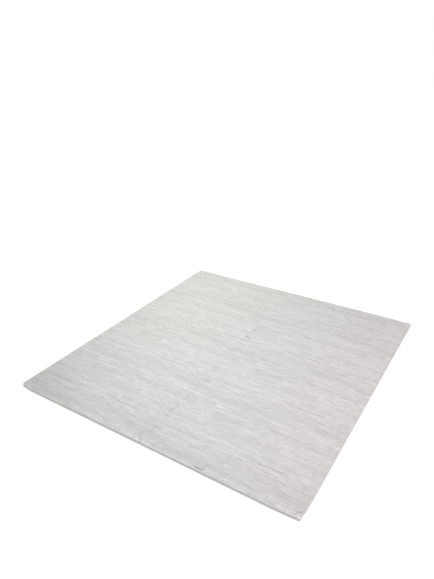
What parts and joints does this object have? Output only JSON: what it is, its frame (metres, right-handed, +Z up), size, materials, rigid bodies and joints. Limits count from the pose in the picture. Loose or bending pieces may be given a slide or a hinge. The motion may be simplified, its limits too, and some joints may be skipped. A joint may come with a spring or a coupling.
{
  "type": "interlocking foam blocking mat",
  "caption": "Square foam floor or blocking mat of interlocking toothed tiles, edged with straight border strips and topped with a pale wood-grain film.",
  "frame": {"origin": "centre of the mat's underside", "axes": "+X along the front edge to the right, +Y towards the back edge, +Z up out of the printed top"},
  "size_m": [1.264, 1.264, 0.0095],
  "materials": {
    "tile_foam": "closed-cell EVA foam, die-cut sides, fine cells",
    "strip_foam": "closed-cell EVA foam, die-cut sides, fine cells",
    "wood_print_film": "matte printed film with a fine emboss, pale grey narrow-stave wood grain"
  },
  "bodies": {
    "front_left_tile": {"front_left_tile": "tile_foam", "front_left_tile_film": "wood_print_film"},
    "front_right_tile": {"front_right_tile": "tile_foam", "front_right_tile_film": "wood_print_film"},
    "back_right_tile": {"back_right_tile": "tile_foam", "back_right_tile_film": "wood_print_film"},
    "back_left_tile": {"back_left_tile": "tile_foam", "back_left_tile_film": "wood_print_film"},
    "front_plain_strip": {"front_plain_strip": "strip_foam", "front_plain_strip_film": "wood_print_film"},
    "right_plain_strip": {"right_plain_strip": "strip_foam", "right_plain_strip_film": "wood_print_film"},
    "back_plain_strip": {"back_plain_strip": "strip_foam", "back_plain_strip_film": "wood_print_film"},
    "left_plain_strip": {"left_plain_strip": "strip_foam", "left_plain_strip_film": "wood_print_film"},
    "front_corner_strip": {"front_corner_strip": "strip_foam", "front_corner_strip_film": "wood_print_film"},
    "right_corner_strip": {"right_corner_strip": "strip_foam", "right_corner_strip_film": "wood_print_film"},
    "back_corner_strip": {"back_corner_strip": "strip_foam", "back_corner_strip_film": "wood_print_film"},
    "left_corner_strip": {"left_corner_strip": "strip_foam", "left_corner_strip_film": "wood_print_film"}
  },
  "joints": [
    {"name": "front_right_tile_lift", "type": "slide", "parent": "front_left_tile", "child": "front_right_tile", "axis": [0, 0, 1], "range_m": [0, 0.1]},
    {"name": "back_left_tile_lift", "type": "slide", "parent": "front_left_tile", "child": "back_left_tile", "axis": [0, 0, 1], "range_m": [0, 0.1]},
    {"name": "back_right_tile_lift", "type": "slide", "parent": "front_right_tile", "child": "back_right_tile", "axis": [0, 0, 1], "range_m": [0, 0.1]},
    {"name": "front_plain_strip_lift", "type": "slide", "parent": "front_left_tile", "child": "front_plain_strip", "axis": [0, 0, 1], "range_m": [0, 0.05]},
    {"name": "front_corner_strip_lift", "type": "slide", "parent": "front_right_tile", "child": "front_corner_strip", "axis": [0, 0, 1], "range_m": [0, 0.05]},
    {"name": "right_plain_strip_lift", "type": "slide", "parent": "front_right_tile", "child": "right_plain_strip", "axis": [0, 0, 1], "range_m": [0, 0.05]},
    {"name": "right_corner_strip_lift", "type": "slide", "parent": "back_right_tile", "child": "right_corner_strip", "axis": [0, 0, 1], "range_m": [0, 0.05]},
    {"name": "back_plain_strip_lift", "type": "slide", "parent": "back_right_tile", "child": "back_plain_strip", "axis": [0, 0, 1], "range_m": [0, 0.05]},
    {"name": "back_corner_strip_lift", "type": "slide", "parent": "back_left_tile", "child": "back_corner_strip", "axis": [0, 0, 1], "range_m": [0, 0.05]},
    {"name": "left_plain_strip_lift", "type": "slide", "parent": "back_left_tile", "child": "left_plain_strip", "axis": [0, 0, 1], "range_m": [0, 0.05]},
    {"name": "left_corner_strip_lift", "type": "slide", "parent": "front_left_tile", "child": "left_corner_strip", "axis": [0, 0, 1], "range_m": [0, 0.05]}
  ]
}
